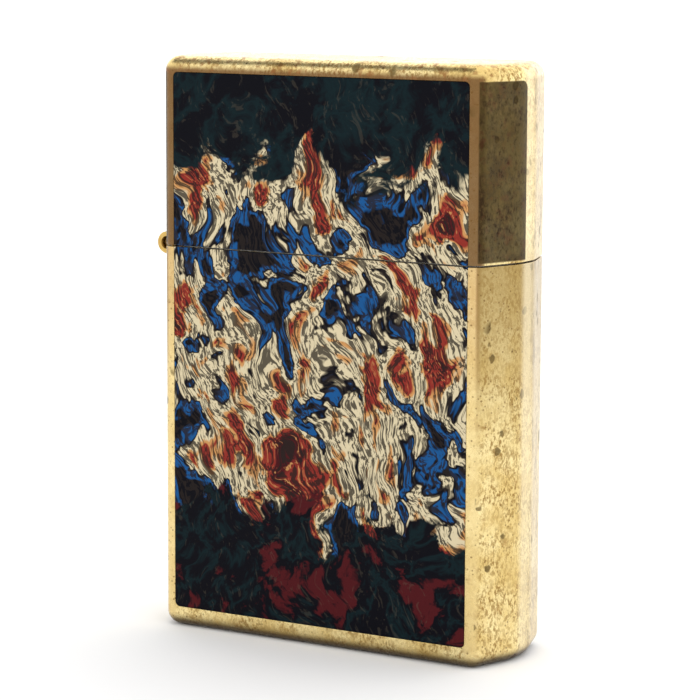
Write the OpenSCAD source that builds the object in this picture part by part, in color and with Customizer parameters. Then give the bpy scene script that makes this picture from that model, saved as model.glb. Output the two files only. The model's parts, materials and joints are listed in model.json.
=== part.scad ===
// Flip-top pocket lighter with a windproof insert.
// Millimetres, +Z up, front face towards -Y, hinge on the -X side.
// The origin is at the middle of the flat underside.

/* [Case] */
// Width across the ridged sides
case_w = 38.8; // [32.3:0.1:46.6]
// Depth from front to back
case_d = 13.1; // [10.9:0.1:15.8]
// Height of the lower case, up to the seam
body_h = 38.35; // [31.9:0.05:46.1]
// Height of the lid, above the seam
lid_h = 18.65; // [15.5:0.05:22.4]
// Thickness of the brass walls
wall = 0.8; // [0.66:0.02:0.96]
// Radius of the rounded outer edges
edge_r = 1.5; // [1.2:0.1:1.8]
// How far each side steps in towards the front and the back
facet_in = 1.75; // [1.45:0.05:2.1]
// Width of the flat middle of each side
side_flat = 2.7; // [2.2:0.1:3.3]
// Gap between the lower case and the lid
seam_gap = 0.16; // [0.1:0.02:0.24]

/* [Front plates] */
// Thickness of the printed plates
plate_t = 0.3; // [0.24:0.02:0.36]
// Brass left showing between a plate and the rounded edge
plate_margin = 0.1; // [0.05:0.05:0.3]
// Brass left showing below the lower plate
plate_foot = 0.6; // [0.4:0.1:1]
// Corner radius of the plates
plate_r = 0.8; // [0.6:0.1:1]
// Gap around a plate in its recess
plate_fit = 0.03; // [0.02:0.01:0.06]

/* [Hinge] */
// Distance from the side's outermost face in to the hinge axis
hinge_inset = 0.5; // [0.4:0.05:0.6]
// Length of the hinge barrel
hinge_len = 8.6; // [7.2:0.1:9.6]
// Outer radius of the barrel
knuckle_r = 1.1; // [0.92:0.02:1.32]
// Radius of the hinge pin
pin_r = 0.6; // [0.5:0.05:0.72]
// How far the pin's ends lie inside the barrel
pin_recess = 0.35; // [0.2:0.05:0.5]
// Thickness of the hinge leaves
leaf_t = 0.4; // [0.34:0.02:0.48]
// Height of each hinge leaf
leaf_h = 6.5; // [5.4:0.1:7.8]
// Gap between the barrel and the notch cut for it above and below
notch_play = 0.35; // [0.3:0.05:0.45]
// Gap between neighbouring knuckles
knuckle_gap = 0.1; // [0.06:0.02:0.16]
// Reach of the lid's cam lip past the hinge leaf
lip_reach = 1.2; // [1:0.05:1.3]

/* [Insert] */
// Gap between the insert and the case walls
insert_fit = 0.2; // [0.15:0.05:0.3]
// Thickness of the insert's wall
can_t = 0.5; // [0.42:0.02:0.6]
// Thickness of the insert's deck
deck_t = 0.6; // [0.5:0.05:0.7]
// Height of the deck above the seam
deck_rise = 2.4; // [2.2:0.1:2.8]
// Thickness of the chimney's wall
chimney_t = 0.5; // [0.42:0.02:0.6]
// Gap between the chimney and the inside of the lid
chimney_fit = 0.45; // [0.35:0.05:0.6]
// Corner radius of the chimney
chimney_r = 2; // [1.6:0.1:2.4]
// Gap between the chimney and the lid's ceiling
chimney_headroom = 0.9; // [0.7:0.1:1.2]
// Radius of the air holes
hole_r = 1.05; // [0.85:0.05:1.25]
// Distance between neighbouring air holes
hole_pitch = 3.6; // [3:0.1:4.2]

/* [Spark wheel] */
// Radius of the wheel
wheel_r = 3.8; // [3.1:0.1:4.6]
// Width of the wheel
wheel_w = 5.6; // [4.7:0.1:6.6]
// Distance from the case's side in to the wheel's axle
wheel_inset = 9; // [8.2:0.1:10]
// Number of teeth
tooth_count = 36; // [24:1:48]
// Depth of the teeth
tooth_depth = 0.28; // [0.2:0.02:0.36]
// Radius of the axle
axle_r = 0.9; // [0.75:0.05:1.05]

/* [Flint feed] */
// Radius of the flint
flint_r = 1.2; // [1:0.05:1.4]
// Length of a new flint
flint_len = 4.2; // [3.5:0.1:5]
// How far the flint stands out of its tube
flint_show = 0.9; // [0.7:0.05:1.1]
// Height of the flint tube's mouth above the deck
tube_mouth = 1.2; // [1:0.1:1.5]
// Wall thickness of the flint tube
tube_t = 0.48; // [0.4:0.02:0.58]
// Radius of the screw's head
screw_head_r = 2.6; // [2.3:0.1:2.8]
// Thickness of the screw's head
screw_head_t = 1.3; // [1.1:0.1:1.5]
// Length of the screw's shank
screw_len = 6; // [5:0.2:7.2]
// Distance between the turns of the flint spring
spring_pitch = 1.5; // [1.3:0.1:1.8]
// Radius of the spring's wire
wire_r = 0.18; // [0.15:0.01:0.21]

/* [Cam] */
// Distance from the hinge axis to the cam's rivet
cam_reach = 6.3; // [6:0.1:7]
// Height of the cam's rivet above the deck
cam_rise = 1.65; // [1.6:0.05:1.9]
// Radius of the cam around its rivet
cam_r = 2.2; // [2.15:0.01:2.25]
// Thickness of the cam
cam_t = 3; // [2.5:0.1:3.4]
// Radius of the cam's nose
nose_r = 0.9; // [0.75:0.05:0.95]
// Radius of the cam's rivet
cam_rivet_r = 0.7; // [0.6:0.05:0.8]
// Thickness of the cam's leaf spring
cam_spring_t = 0.35; // [0.3:0.01:0.42]

/* [Fuel packing] */
// Radius of the wick
wick_r = 1.45; // [1.2:0.05:1.6]
// Height of the wick above the deck
wick_rise = 8.6; // [7.2:0.1:9.6]
// Length of wick below the deck
wick_depth = 26; // [22:0.5:27]
// Number of cotton pads
pad_count = 5; // [3:1:6]
// Gap around each cotton pad
pad_gap = 0.3; // [0.25:0.05:0.4]
// Thickness of the felt
felt_t = 2.5; // [2.1:0.1:3]

/* [Hidden] */

$fn = 48;
// Overshoot of a cut past the face it opens
over = 1;
// Clearance of a fixed pin in its hole
pin_fit = 0.03;
// Clearance of a part that turns or slides on its pin
run_fit = 0.05;

// Angle that a side's facets turn away from its flat
facet_turn = atan(facet_in / ((case_d - side_flat) / 2));
// Half width of the flat front, between the rounded edges
front_half = case_w / 2 - facet_in - edge_r * tan(45 - facet_turn / 2);
case_h = body_h + lid_h;
body_top = body_h - seam_gap / 2;
// Steps of the arc at each of the case's eight vertical edges, and of its rounded foot
arc_steps = 5;
foot_steps = 8;
// Directions between which those edges turn, from the side at +X round to it again
turns = [0, facet_turn, 90, 180 - facet_turn, 180, 180 + facet_turn, 270, 360 - facet_turn, 360];

// Hinge
hinge_x = -case_w / 2 + hinge_inset;
knuckle_count = 5;
knuckle_len = (hinge_len - (knuckle_count - 1) * knuckle_gap) / knuckle_count;
// Half height of the notch around the barrel, and how far it reaches in past the axis
notch_h = knuckle_r + notch_play;
notch_in = 2.2;
// Play between a leaf's edge and the other leaf's knuckles
leaf_play = 0.15;

// Insert: the side next to the hinge stays clear of the barrel
hinge_play = 0.15;
barrel_room = hinge_inset + knuckle_r + hinge_play - wall;
insert_shift = (barrel_room - insert_fit) / 2;
can_inset = wall + insert_fit;
deck_z = body_h + deck_rise;

// Gap between the cam and each side of its slot
cam_play = 0.1;
slot_half = cam_t / 2 + cam_play;

// Cam lip on the lid's hinge leaf, just above the barrel
lip_t = leaf_t;
lip_x = -case_w / 2 + wall + leaf_t;
lip_z = body_h + knuckle_r + leaf_play;

// Cam: its nose stays just outside the circle that the lip's tip sweeps
cam_x = hinge_x + cam_reach;
cam_z = deck_z + cam_rise;
nose_play = 0.06;
lip_tip = [lip_x + lip_reach - hinge_x, lip_z + lip_t - body_h];
lip_sweep = norm(lip_tip);
// Direction from the hinge axis to the nose
nose_angle = 52;
nose_dist = lip_sweep + nose_play + nose_r;
nose_x = hinge_x + nose_dist * cos(nose_angle);
nose_z = body_h + nose_dist * sin(nose_angle);
ear_t = 0.5;
cam_ear_r = 1.6;
rivet_head_t = 0.4;
// How far a rivet's head stands out past its shank
rivet_lip = 0.5;
// Distance from the cam's rivet to the one that holds its spring
spring_rivet_reach = 4;
spring_rivet_x = cam_x + spring_rivet_reach;
spring_rivet_r = 0.6;
spring_head_r = spring_rivet_r + rivet_lip;
// How far the cam's spring reaches past the cam, and past the slot on each side
spring_reach = 0.5;
spring_lap = 0.3;

// Chimney and wheel
wheel_x = case_w / 2 - wheel_inset;
flint_top = deck_z + tube_mouth + flint_show;
flint_gap = 0.03;
axle_z = flint_top + flint_gap + wheel_r;
axle_head_r = axle_r + 0.7;
// Room between the spring's rivet head and the chimney
rivet_room = 0.4;
chimney_left = spring_rivet_x + spring_head_r + rivet_room;
// Room between the chimney and the wheel
wheel_room = 0.6;
chimney_right = wheel_x - wheel_r - wheel_room;
chimney_half = case_d / 2 - wall - chimney_fit;
chimney_top = case_h - wall - chimney_headroom;
wheel_play = 0.15;
wheel_ear_in = wheel_w / 2 + wheel_play;
wheel_ear_r = 2.4;
// Extra height of the wheel's ears where they leave the chimney
ear_rise = 4.5;
wheel_bore_r = axle_r + run_fit;

// Air holes: least distance from their centres to the chimney's sides and to its ends
hole_side = 2.9;
hole_edge = 3.4;
hole_columns = max(1, floor((chimney_right - chimney_left - 2 * hole_side) / hole_pitch) + 1);
hole_rows = max(1, floor((chimney_top - deck_z - 2 * hole_edge) / hole_pitch) + 1);
chimney_mid = (chimney_left + chimney_right) / 2;

// Flint feed
flint_fit = 0.07;
tube_bore_r = flint_r + flint_fit;
tube_r = tube_bore_r + tube_t;
// How far the screw's head and the felt lie above the bottom of the case
screw_lift = 0.6;
felt_lift = 0.5;
screw_z = wall + screw_lift;
tube_foot = screw_z + screw_head_t + run_fit;
screw_slot_w = 0.8;
screw_slot_d = 0.6;
tip_len = 2;
tip_r = flint_r - run_fit;
tip_z = flint_top - flint_len - tip_len;
coil_foot = screw_z + screw_head_t + screw_len;
coil_fit = 0.1;
coil_r = flint_r - wire_r - coil_fit;

// Fuel packing
felt_z = wall + felt_lift;
felt_play = 0.1;
pads_foot = felt_z + felt_t + pad_gap;
pads_top = deck_z - deck_t - cam_spring_t - 2 * rivet_head_t;
pad_h = (pads_top - pads_foot) / pad_count - pad_gap;
wick_play = 0.12;

function direction(angle) = [cos(angle), sin(angle)];

// Corner between a side's flat and its facet, on the outline inset by t and narrowed by dx
function side_corner(t, dx) = [case_w / 2 - dx - t, side_flat / 2 - t * tan(facet_turn / 2)];

// Corner between a facet and the back, on the same outline
function face_corner(t, dx) =
    [case_w / 2 - dx - facet_in - t * tan(45 - facet_turn / 2), case_d / 2 - t];

function mirrored(points, sx, sy) = [for (p = points) [p.x * sx, p.y * sy]];
function reversed(points) = [for (i = [len(points) - 1:-1:0]) points[i]];

// A closed loop from its first quarter, whose points run from the side to the back
function four_quarters(q) = concat(q, reversed(mirrored(q, -1, 1)), mirrored(q, -1, -1),
    reversed(mirrored(q, 1, -1)));

// Horizontal section of the case, inset by t, with the radius that keeps the wall even
module outline(t, dx = 0) {
    r = max(edge_r - t, 0.3);
    c = face_corner(t + r, dx);
    quarter = [side_corner(t, dx), c + r * direction(facet_turn), c + [0, r]];
    polygon(four_quarters(quarter));
    for (sx = [-1, 1], sy = [-1, 1]) {
        translate([sx * c.x, sy * c.y]) circle(r);
    }
}

// Section of the insert, inset by t from the insert's outer face
module insert_outline(t = 0) {
    translate([insert_shift, 0]) outline(can_inset + t, insert_shift);
}

// Points at the height z around the case's outline, the radius r out from its inset corners
function ring(r, z) = [for (i = [0:7], j = [0:arc_steps])
    let (c = four_quarters([side_corner(edge_r, 0), face_corner(edge_r, 0)])[i],
        p = c + r * direction(turns[i] + (turns[i + 1] - turns[i]) * j / arc_steps))
    [p.x, p.y, z]];

// Solid block of the case's section from z = 0 to the height h. Its foot is rounded: the arcs of
// the lowest ring shrink to the inset corners.
module rounded_block(h) {
    count = 8 * (arc_steps + 1);
    foot = [for (k = [0:foot_steps]) let (a = 90 * k / foot_steps)
        each ring(edge_r * sin(a), edge_r * (1 - cos(a)))];
    skin = [for (i = [0:foot_steps], k = [0:count - 1])
        let (m = (k + 1) % count, near = i * count, far = near + count)
            each [[near + k, far + k, far + m], [near + k, far + m, near + m]]];
    bottom = [[for (i = [0:7]) i * (arc_steps + 1)]];
    top = [[for (k = [count - 1:-1:0]) (foot_steps + 1) * count + k]];
    polyhedron(concat(foot, ring(edge_r, h)), concat(bottom, skin, top), convexity = 4);
}

// Block across the left wall that makes room for the hinge barrel
module hinge_notch() {
    translate([-case_w / 2 - over, -hinge_len / 2 - hinge_play, body_h - notch_h])
        cube([hinge_inset + over + notch_in, hinge_len + 2 * hinge_play, 2 * notch_h]);
}

// Cylinder along Y, centred on y = 0
module cross_pin(x, z, r, len) {
    translate([x, len / 2, z]) rotate([90, 0, 0]) cylinder(r = r, h = len);
}

// Plate from z0 to z1 on the front, grown by fit, with two round corners at z0
module front_plate(z0, z1, fit, t) {
    half = front_half - plate_margin + fit;
    translate([0, -case_d / 2 + t, 0]) rotate([90, 0, 0]) linear_extrude(t) {
        translate([-half, z0 - fit + plate_r]) square([2 * half, z1 - z0 - plate_r + fit]);
        translate([-half + plate_r, z0 - fit]) square([2 * (half - plate_r), plate_r + fit]);
        for (side = [-1, 1]) {
            translate([side * (half - plate_r), z0 - fit + plate_r]) circle(plate_r);
        }
    }
}

// Plate of the lower case; the recess for it runs past the rim by lap
module body_front(fit, t, lap) {
    front_plate(edge_r + plate_foot, body_top + lap, fit, t);
}

// Plate of the lid, upside down
module lid_front(fit, t, lap) {
    translate([0, 0, case_h]) mirror([0, 0, 1])
        front_plate(edge_r + plate_margin, lid_h - seam_gap / 2 + lap, fit, t);
}

module body_shell() {
    color("darkgoldenrod") difference() {
        rounded_block(body_top);
        translate([0, 0, wall]) linear_extrude(body_h) outline(wall);
        hinge_notch();
        translate([0, -over, 0]) body_front(plate_fit, plate_t + over, over);
    }
}

module lid_shell() {
    color("darkgoldenrod") difference() {
        translate([0, 0, case_h]) mirror([0, 0, 1]) rounded_block(lid_h - seam_gap / 2);
        translate([0, 0, body_h - over]) linear_extrude(lid_h - wall + over) outline(wall);
        hinge_notch();
        translate([0, -over, 0]) lid_front(plate_fit, plate_t + over, over);
    }
}

module body_plate() {
    color("midnightblue") body_front(0, plate_t, 0);
}

module lid_plate() {
    color("midnightblue") lid_front(0, plate_t, 0);
}

// Lower half of the hinge around the axis height: leaf, webs and knuckles of the given set
module hinge_half(indices) {
    edge = body_h - knuckle_r - leaf_play;
    difference() {
        union() {
            leaf_strip(edge - leaf_h, leaf_h, hinge_len, 0);
            for (i = indices) {
                y = (i - (knuckle_count - 1) / 2) * (knuckle_len + knuckle_gap);
                translate([0, y, 0]) cross_pin(hinge_x, body_h, knuckle_r, knuckle_len);
                leaf_strip(edge - over, over + leaf_play + leaf_t, knuckle_len, y);
                web_strip(knuckle_len, y);
            }
        }
        cross_pin(hinge_x, body_h, pin_r + run_fit, hinge_len + over);
    }
}

// Piece of sheet that lines the left wall up to the corners, len long and centred on y
module leaf_strip(z, h, len, y) {
    reach = case_w - face_corner(wall + leaf_t, 0).x;
    intersection() {
        translate([0, 0, z]) linear_extrude(h) difference() {
            outline(wall);
            outline(wall + leaf_t);
        }
        translate([-case_w, y - len / 2, z - over]) cube([reach, len, h + 2 * over]);
    }
}

// Flat strip that joins a knuckle's underside to the leaf
module web_strip(len, y) {
    difference() {
        translate([hinge_x, y - len / 2, body_h - knuckle_r]) cube([notch_in, len, leaf_t]);
        linear_extrude(case_h) outline(wall + leaf_t);
    }
}

module body_hinge_leaf() {
    color("goldenrod") hinge_half([0, 2, 4]);
}

// The lid's half is mirrored about the axis height and carries the cam lip
module lid_hinge_leaf() {
    color("goldenrod") {
        translate([0, 0, 2 * body_h]) mirror([0, 0, 1]) hinge_half([1, 3]);
        translate([0, 0, lip_z]) linear_extrude(lip_t) intersection() {
            outline(wall);
            translate([lip_x - leaf_t, -slot_half]) square([leaf_t + lip_reach, 2 * slot_half]);
        }
    }
}

module hinge_pin() {
    color("gainsboro") cross_pin(hinge_x, body_h, pin_r, hinge_len - 2 * pin_recess);
}

module insert_can() {
    color("silver") difference() {
        translate([0, 0, wall]) linear_extrude(deck_z - wall) difference() {
            insert_outline();
            insert_outline(can_t);
        }
        lip_slot();
    }
}

// Opening in the insert's left shoulder that the cam lip swings through, clear of the wall there
module lip_slot() {
    half = slot_half + hinge_play;
    past_lip = hinge_inset + lip_tip.x + hinge_play;
    past_wall = wall + barrel_room + can_t + half * tan(facet_turn);
    translate([-case_w / 2, -half, lip_z - hinge_play]) cube([max(past_lip, past_wall), 2 * half, case_h]);
}

module insert_deck() {
    color("silver") difference() {
        union() {
            translate([0, 0, deck_z - deck_t]) linear_extrude(deck_t) insert_outline(can_t);
            for (side = [-1, 1]) {
                cam_ear(side * (slot_half + ear_t / 2));
            }
        }
        lip_slot();
        translate([-case_w / 2, -slot_half, deck_z - deck_t - over])
            cube([case_w / 2 + cam_x + cam_r, 2 * slot_half, deck_t + 2 * over]);
        cross_pin(cam_x, cam_z, cam_rivet_r + pin_fit, case_d);
        deck_hole(spring_rivet_x, spring_rivet_r + pin_fit);
        deck_hole(wheel_x, tube_r + pin_fit);
        deck_hole(chimney_mid, wick_r + wick_play);
    }
}

module cam_ear(y) {
    translate([0, y, 0]) {
        cross_pin(cam_x, cam_z, cam_ear_r, ear_t);
        translate([cam_x - cam_ear_r, -ear_t / 2, deck_z - deck_t / 2])
            cube([2 * cam_ear_r, ear_t, cam_rise + deck_t / 2]);
    }
}

module deck_hole(x, r) {
    translate([x, 0, deck_z - deck_t - over]) cylinder(r = r, h = deck_t + 2 * over);
}

// Rounded rectangle of the chimney, inset by t
module chimney_outline(t) {
    r = max(chimney_r - t, 0.4);
    w = chimney_right - chimney_left - 2 * t;
    half = chimney_half - t;
    translate([chimney_mid - w / 2 + r, -half]) square([w - 2 * r, 2 * half]);
    translate([chimney_mid - w / 2, -half + r]) square([w, 2 * (half - r)]);
    for (sx = [-1, 1], sy = [-1, 1]) {
        translate([chimney_mid + sx * (w / 2 - r), sy * (half - r)]) circle(r);
    }
}

module chimney() {
    color("silver") difference() {
        union() {
            difference() {
                translate([0, 0, deck_z]) linear_extrude(chimney_top - deck_z) difference() {
                    chimney_outline(0);
                    chimney_outline(chimney_t);
                }
                spark_window();
                air_holes();
            }
            for (side = [-1, 1]) {
                wheel_ear(side * (wheel_ear_in + ear_t / 2));
            }
        }
        cross_pin(wheel_x, axle_z, axle_r + pin_fit, case_d);
    }
}

// Opening in the chimney's right wall, between the wheel's ears
module spark_window() {
    sill = 1.5;
    translate([chimney_right - 2 * chimney_t, -wheel_w / 2, deck_z + sill])
        cube([4 * chimney_t, wheel_w, axle_z + ear_rise - deck_z - sill]);
}

// Rows of holes through the front and back, every second row one hole shorter
module air_holes() {
    for (row = [0:hole_rows - 1]) {
        columns = max(1, hole_columns - row % 2);
        for (column = [0:columns - 1]) {
            x = chimney_mid + (column - (columns - 1) / 2) * hole_pitch;
            cross_pin(x, deck_z + hole_edge + row * hole_pitch, hole_r, case_d);
        }
    }
}

// Ear that carries one end of the wheel's axle
module wheel_ear(y) {
    start = chimney_right - chimney_t / 2;
    end = wheel_x + wheel_ear_r;
    translate([0, y + ear_t / 2, 0]) rotate([90, 0, 0]) linear_extrude(ear_t) {
        polygon([[start, deck_z], [end, deck_z], [end, axle_z], [wheel_x, axle_z + wheel_ear_r],
            [start, axle_z + ear_rise]]);
        translate([wheel_x, axle_z]) circle(wheel_ear_r);
    }
}

module flint_wheel() {
    color("dimgray") difference() {
        cross_pin(wheel_x, axle_z, wheel_r, wheel_w);
        cross_pin(wheel_x, axle_z, wheel_bore_r, wheel_w + over);
        for (i = [0:tooth_count - 1]) {
            translate([wheel_x, 0, axle_z]) rotate([0, i * 360 / tooth_count, 0])
                translate([wheel_r, 0, 0]) rotate([0, 45, 0])
                    cube([tooth_depth * sqrt(2), wheel_w + over, tooth_depth * sqrt(2)], center = true);
        }
    }
}

// Rivet along Y whose shank spans 2 * half and whose heads lie outside it
module cross_rivet(x, z, r, head_r, half) {
    cross_pin(x, z, r, 2 * half);
    for (side = [-1, 1]) {
        translate([0, side * (half + rivet_head_t / 2), 0]) cross_pin(x, z, head_r, rivet_head_t);
    }
}

module wheel_rivet() {
    color("gainsboro") cross_rivet(wheel_x, axle_z, axle_r, axle_head_r, wheel_ear_in + ear_t);
}

module cam() {
    along = [nose_x - cam_x, nose_z - cam_z];
    tilt = atan2(along.y, along.x);
    // Angle from that line to the points where the flanks touch both circles
    lean = acos((cam_r - nose_r) / norm(along));
    color("slategray") difference() {
        translate([cam_x, cam_t / 2, cam_z]) rotate([90, 0, 0]) linear_extrude(cam_t) {
            circle(cam_r);
            translate(along) circle(nose_r);
            polygon([cam_r * direction(tilt - lean), along + nose_r * direction(tilt - lean),
                along + nose_r * direction(tilt + lean), cam_r * direction(tilt + lean)]);
        }
        cross_pin(cam_x, cam_z, cam_rivet_r + run_fit, cam_t + over);
    }
}

module cam_rivet() {
    color("gainsboro")
        cross_rivet(cam_x, cam_z, cam_rivet_r, cam_rivet_r + rivet_lip, slot_half + ear_t);
}

// Leaf spring under the deck, which the cam bears on
module cam_spring() {
    end = spring_rivet_x + spring_head_r;
    start = cam_x - cam_r - spring_reach;
    width = 2 * (slot_half + spring_lap);
    color("lightsteelblue") difference() {
        translate([start, -width / 2, deck_z - deck_t - cam_spring_t])
            cube([end - start, width, cam_spring_t]);
        translate([spring_rivet_x, 0, deck_z - deck_t - over])
            cylinder(r = spring_rivet_r + pin_fit, h = 2 * over);
    }
}

module spring_rivet() {
    foot = deck_z - deck_t - cam_spring_t;
    color("gainsboro") translate([spring_rivet_x, 0, 0]) {
        translate([0, 0, foot]) cylinder(r = spring_rivet_r, h = deck_t + cam_spring_t);
        translate([0, 0, deck_z]) cylinder(r = spring_head_r, h = rivet_head_t);
        translate([0, 0, foot - rivet_head_t]) cylinder(r = spring_head_r, h = rivet_head_t);
    }
}

module flint_tube() {
    color("goldenrod") translate([wheel_x, 0, tube_foot]) difference() {
        cylinder(r = tube_r, h = deck_z + tube_mouth - tube_foot);
        translate([0, 0, -over]) cylinder(r = tube_bore_r, h = case_h);
    }
}

module flint() {
    color("dimgray") translate([wheel_x, 0, flint_top - flint_len]) cylinder(r = flint_r, h = flint_len);
}

module spring_tip() {
    color("gold") translate([wheel_x, 0, tip_z]) cylinder(r = tip_r, h = tip_len);
}

// Helix of round wire, as rings of points joined by pairs of triangles
module flint_spring() {
    sides = 6;
    steps = 12;
    foot = coil_foot + wire_r + flint_gap;
    rise = tip_z - wire_r - flint_gap - foot;
    turns = floor(rise / spring_pitch);
    rings = turns * steps;
    points = [for (i = [0:rings], k = [0:sides - 1])
        let (a = i * 360 / steps, b = k * 360 / sides, r = coil_r + wire_r * cos(b))
            [r * cos(a), r * sin(a), foot + rise * i / rings + wire_r * sin(b)]];
    skin = [for (i = [0:rings - 1], k = [0:sides - 1])
        let (m = (k + 1) % sides, near = i * sides, far = near + sides)
            each [[near + k, near + m, far + m], [near + k, far + m, far + k]]];
    start = [[for (k = [sides - 1:-1:0]) k]];
    end = [[for (k = [0:sides - 1]) rings * sides + k]];
    color("silver") translate([wheel_x, 0, 0]) polyhedron(points, concat(start, skin, end), convexity = 10);
}

module flint_screw() {
    color("goldenrod") translate([wheel_x, 0, screw_z]) difference() {
        union() {
            cylinder(r = screw_head_r, h = screw_head_t);
            cylinder(r = tube_bore_r - run_fit, h = screw_head_t + screw_len);
        }
        translate([-screw_head_r - over, -screw_slot_w / 2, -over])
            cube([2 * (screw_head_r + over), screw_slot_w, over + screw_slot_d]);
    }
}

module wick() {
    color("ivory") translate([chimney_mid, 0, deck_z - wick_depth])
        cylinder(r = wick_r, h = wick_depth + wick_rise);
}

// Vertical channel through the packing for the wick or the flint tube
module packing_channel(x, r) {
    translate([x, 0, 0]) cylinder(r = r, h = case_h);
}

module cotton_pads() {
    color("white") difference() {
        for (i = [0:pad_count - 1]) {
            translate([0, 0, pads_foot + i * (pad_h + pad_gap)])
                linear_extrude(pad_h) insert_outline(can_t + pad_gap);
        }
        packing_channel(wheel_x, tube_r + pad_gap);
        packing_channel(chimney_mid, wick_r + wick_play);
    }
}

module felt_pad() {
    color("gray") difference() {
        translate([0, 0, felt_z]) linear_extrude(felt_t) insert_outline(can_t + felt_play);
        packing_channel(wheel_x, screw_head_r + felt_play);
    }
}

body_shell();
lid_shell();
body_plate();
lid_plate();
body_hinge_leaf();
lid_hinge_leaf();
hinge_pin();
insert_can();
insert_deck();
chimney();
flint_wheel();
wheel_rivet();
cam();
cam_rivet();
cam_spring();
spring_rivet();
flint_tube();
flint();
spring_tip();
flint_spring();
flint_screw();
wick();
cotton_pads();
felt_pad();
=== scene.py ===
"""Flip-top pocket lighter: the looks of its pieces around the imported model.

Lengths are in millimetres until a mesh is finished, which scales it to the frame's metres.
"""

import json
import math
import random

import bmesh
import bpy
from mathutils import Matrix, Vector


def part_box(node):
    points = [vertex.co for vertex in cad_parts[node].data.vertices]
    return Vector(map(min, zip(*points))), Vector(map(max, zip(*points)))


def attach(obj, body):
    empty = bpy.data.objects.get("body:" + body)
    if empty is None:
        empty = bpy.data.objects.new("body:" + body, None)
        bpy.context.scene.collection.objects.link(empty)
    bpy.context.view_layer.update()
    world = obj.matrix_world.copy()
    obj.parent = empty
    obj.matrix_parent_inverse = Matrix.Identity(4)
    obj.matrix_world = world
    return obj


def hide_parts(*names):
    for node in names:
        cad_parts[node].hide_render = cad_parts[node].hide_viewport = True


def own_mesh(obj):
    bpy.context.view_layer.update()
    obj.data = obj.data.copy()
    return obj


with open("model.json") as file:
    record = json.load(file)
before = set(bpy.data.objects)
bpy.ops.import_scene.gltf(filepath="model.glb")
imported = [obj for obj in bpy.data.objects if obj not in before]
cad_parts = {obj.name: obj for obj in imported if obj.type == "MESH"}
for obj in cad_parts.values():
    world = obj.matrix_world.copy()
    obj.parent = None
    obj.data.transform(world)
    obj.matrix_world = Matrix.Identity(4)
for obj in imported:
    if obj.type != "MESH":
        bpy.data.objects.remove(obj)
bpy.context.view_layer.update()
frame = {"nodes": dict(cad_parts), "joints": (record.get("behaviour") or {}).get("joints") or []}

MM = 0.001
scene = bpy.context.scene


def span(node):
    """Lowest and highest corner of a CAD node, in millimetres."""
    low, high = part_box(node)
    return low / MM, high / MM


joints = {joint["name"]: joint for joint in frame["joints"]}
shell_low, shell_high = span("body_shell")
lid_low, lid_high = span("lid_shell")

# The case's horizontal section, as in the CAD model
CASE_W = shell_high.x - shell_low.x
CASE_D = shell_high.y - shell_low.y
BODY_TOP = shell_high.z
LID_FOOT = lid_low.z
CASE_TOP = lid_high.z
SEAM = (BODY_TOP + LID_FOOT) / 2
WALL = 0.8
EDGE_R = 1.5
FACET_IN = 1.75
SIDE_FLAT = 2.7
SIDE_R = 5.0
FACET_TURN = math.atan(FACET_IN / ((CASE_D - SIDE_FLAT) / 2))
FRONT_HALF = CASE_W / 2 - FACET_IN - EDGE_R * math.tan(math.pi / 4 - FACET_TURN / 2)

# Hinge
HINGE_X = joints["lid_hinge"]["pos_m"][0] / MM
HINGE_LEN = span("body_hinge_leaf")[1].y * 2
KNUCKLE_R = 1.1
PIN_R = 0.6
LEAF_T = 0.4
NOTCH_H = 1.45
NOTCH_IN = 2.2
HINGE_PLAY = 0.15
KNUCKLES = 5
KNUCKLE_GAP = 0.1
BORE_PLAY = 0.05

# Print plates: the radius of their round corners, and their play in the recess
PRINT_R = 0.5
PRINT_PLAY = 0.03

# Ends of a hole cut along Y, well past the case's front and back
THROUGH = (-8, 8)

# A step too small to see, which keeps two faces from coinciding
HAIR = 0.01


# ---------------------------------------------------------------- mesh tools


def polar(radius, angle):
    return Vector((radius * math.cos(angle), radius * math.sin(angle)))


def section(inset, steps=12, shift=0.0):
    """The case's outline inset and narrowed by shift, its corners rounded, counter-clockwise."""
    points = []
    for sx, sy in ((1, 1), (-1, 1), (-1, -1), (1, -1)):
        quarter = []
        for outer, start, end in ((SIDE_R, 0.0, FACET_TURN), (EDGE_R, FACET_TURN, math.pi / 2)):
            radius = max(outer - inset, 0.2)
            depth = inset + radius
            if start == 0.0:
                centre = (CASE_W / 2 - shift - depth, SIDE_FLAT / 2 - depth * math.tan(FACET_TURN / 2))
            else:
                back = FACET_IN + depth * math.tan(math.pi / 4 - FACET_TURN / 2)
                centre = (CASE_W / 2 - shift - back, CASE_D / 2 - depth)
            turns = [start + (end - start) * k / steps for k in range(steps + 1)]
            quarter += [Vector(centre) + polar(radius, turn) for turn in turns]
        if sx * sy < 0:
            quarter.reverse()
        points += [Vector((p.x * sx, p.y * sy)) for p in quarter]
    return points


def mesh_object(name, vertices, faces):
    mesh = bpy.data.meshes.new(name)
    mesh.from_pydata([tuple(v) for v in vertices], [], faces)
    mesh.validate()
    made = bpy.data.objects.new(name, mesh)
    scene.collection.objects.link(made)
    return made


def loft(name, rings):
    """Closed solid through rings of as many points each, from the lowest to the highest."""
    count = len(rings[0])
    vertices = [v for ring in rings for v in ring]
    faces = [list(range(count))[::-1], [(len(rings) - 1) * count + k for k in range(count)]]
    for i in range(len(rings) - 1):
        for k in range(count):
            m = (k + 1) % count
            faces.append([i * count + k, i * count + m, (i + 1) * count + m, (i + 1) * count + k])
    return mesh_object(name, vertices, faces)


def prism(name, outline, z0, z1):
    return loft(name, [[(p.x, p.y, z) for p in outline] for z in (z0, z1)])


def block(name, low, high):
    (x0, y0, z0), (x1, y1, z1) = low, high
    corners = [Vector(corner) for corner in ((x0, y0), (x1, y0), (x1, y1), (x0, y1))]
    return prism(name, corners, z0, z1)


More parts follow.
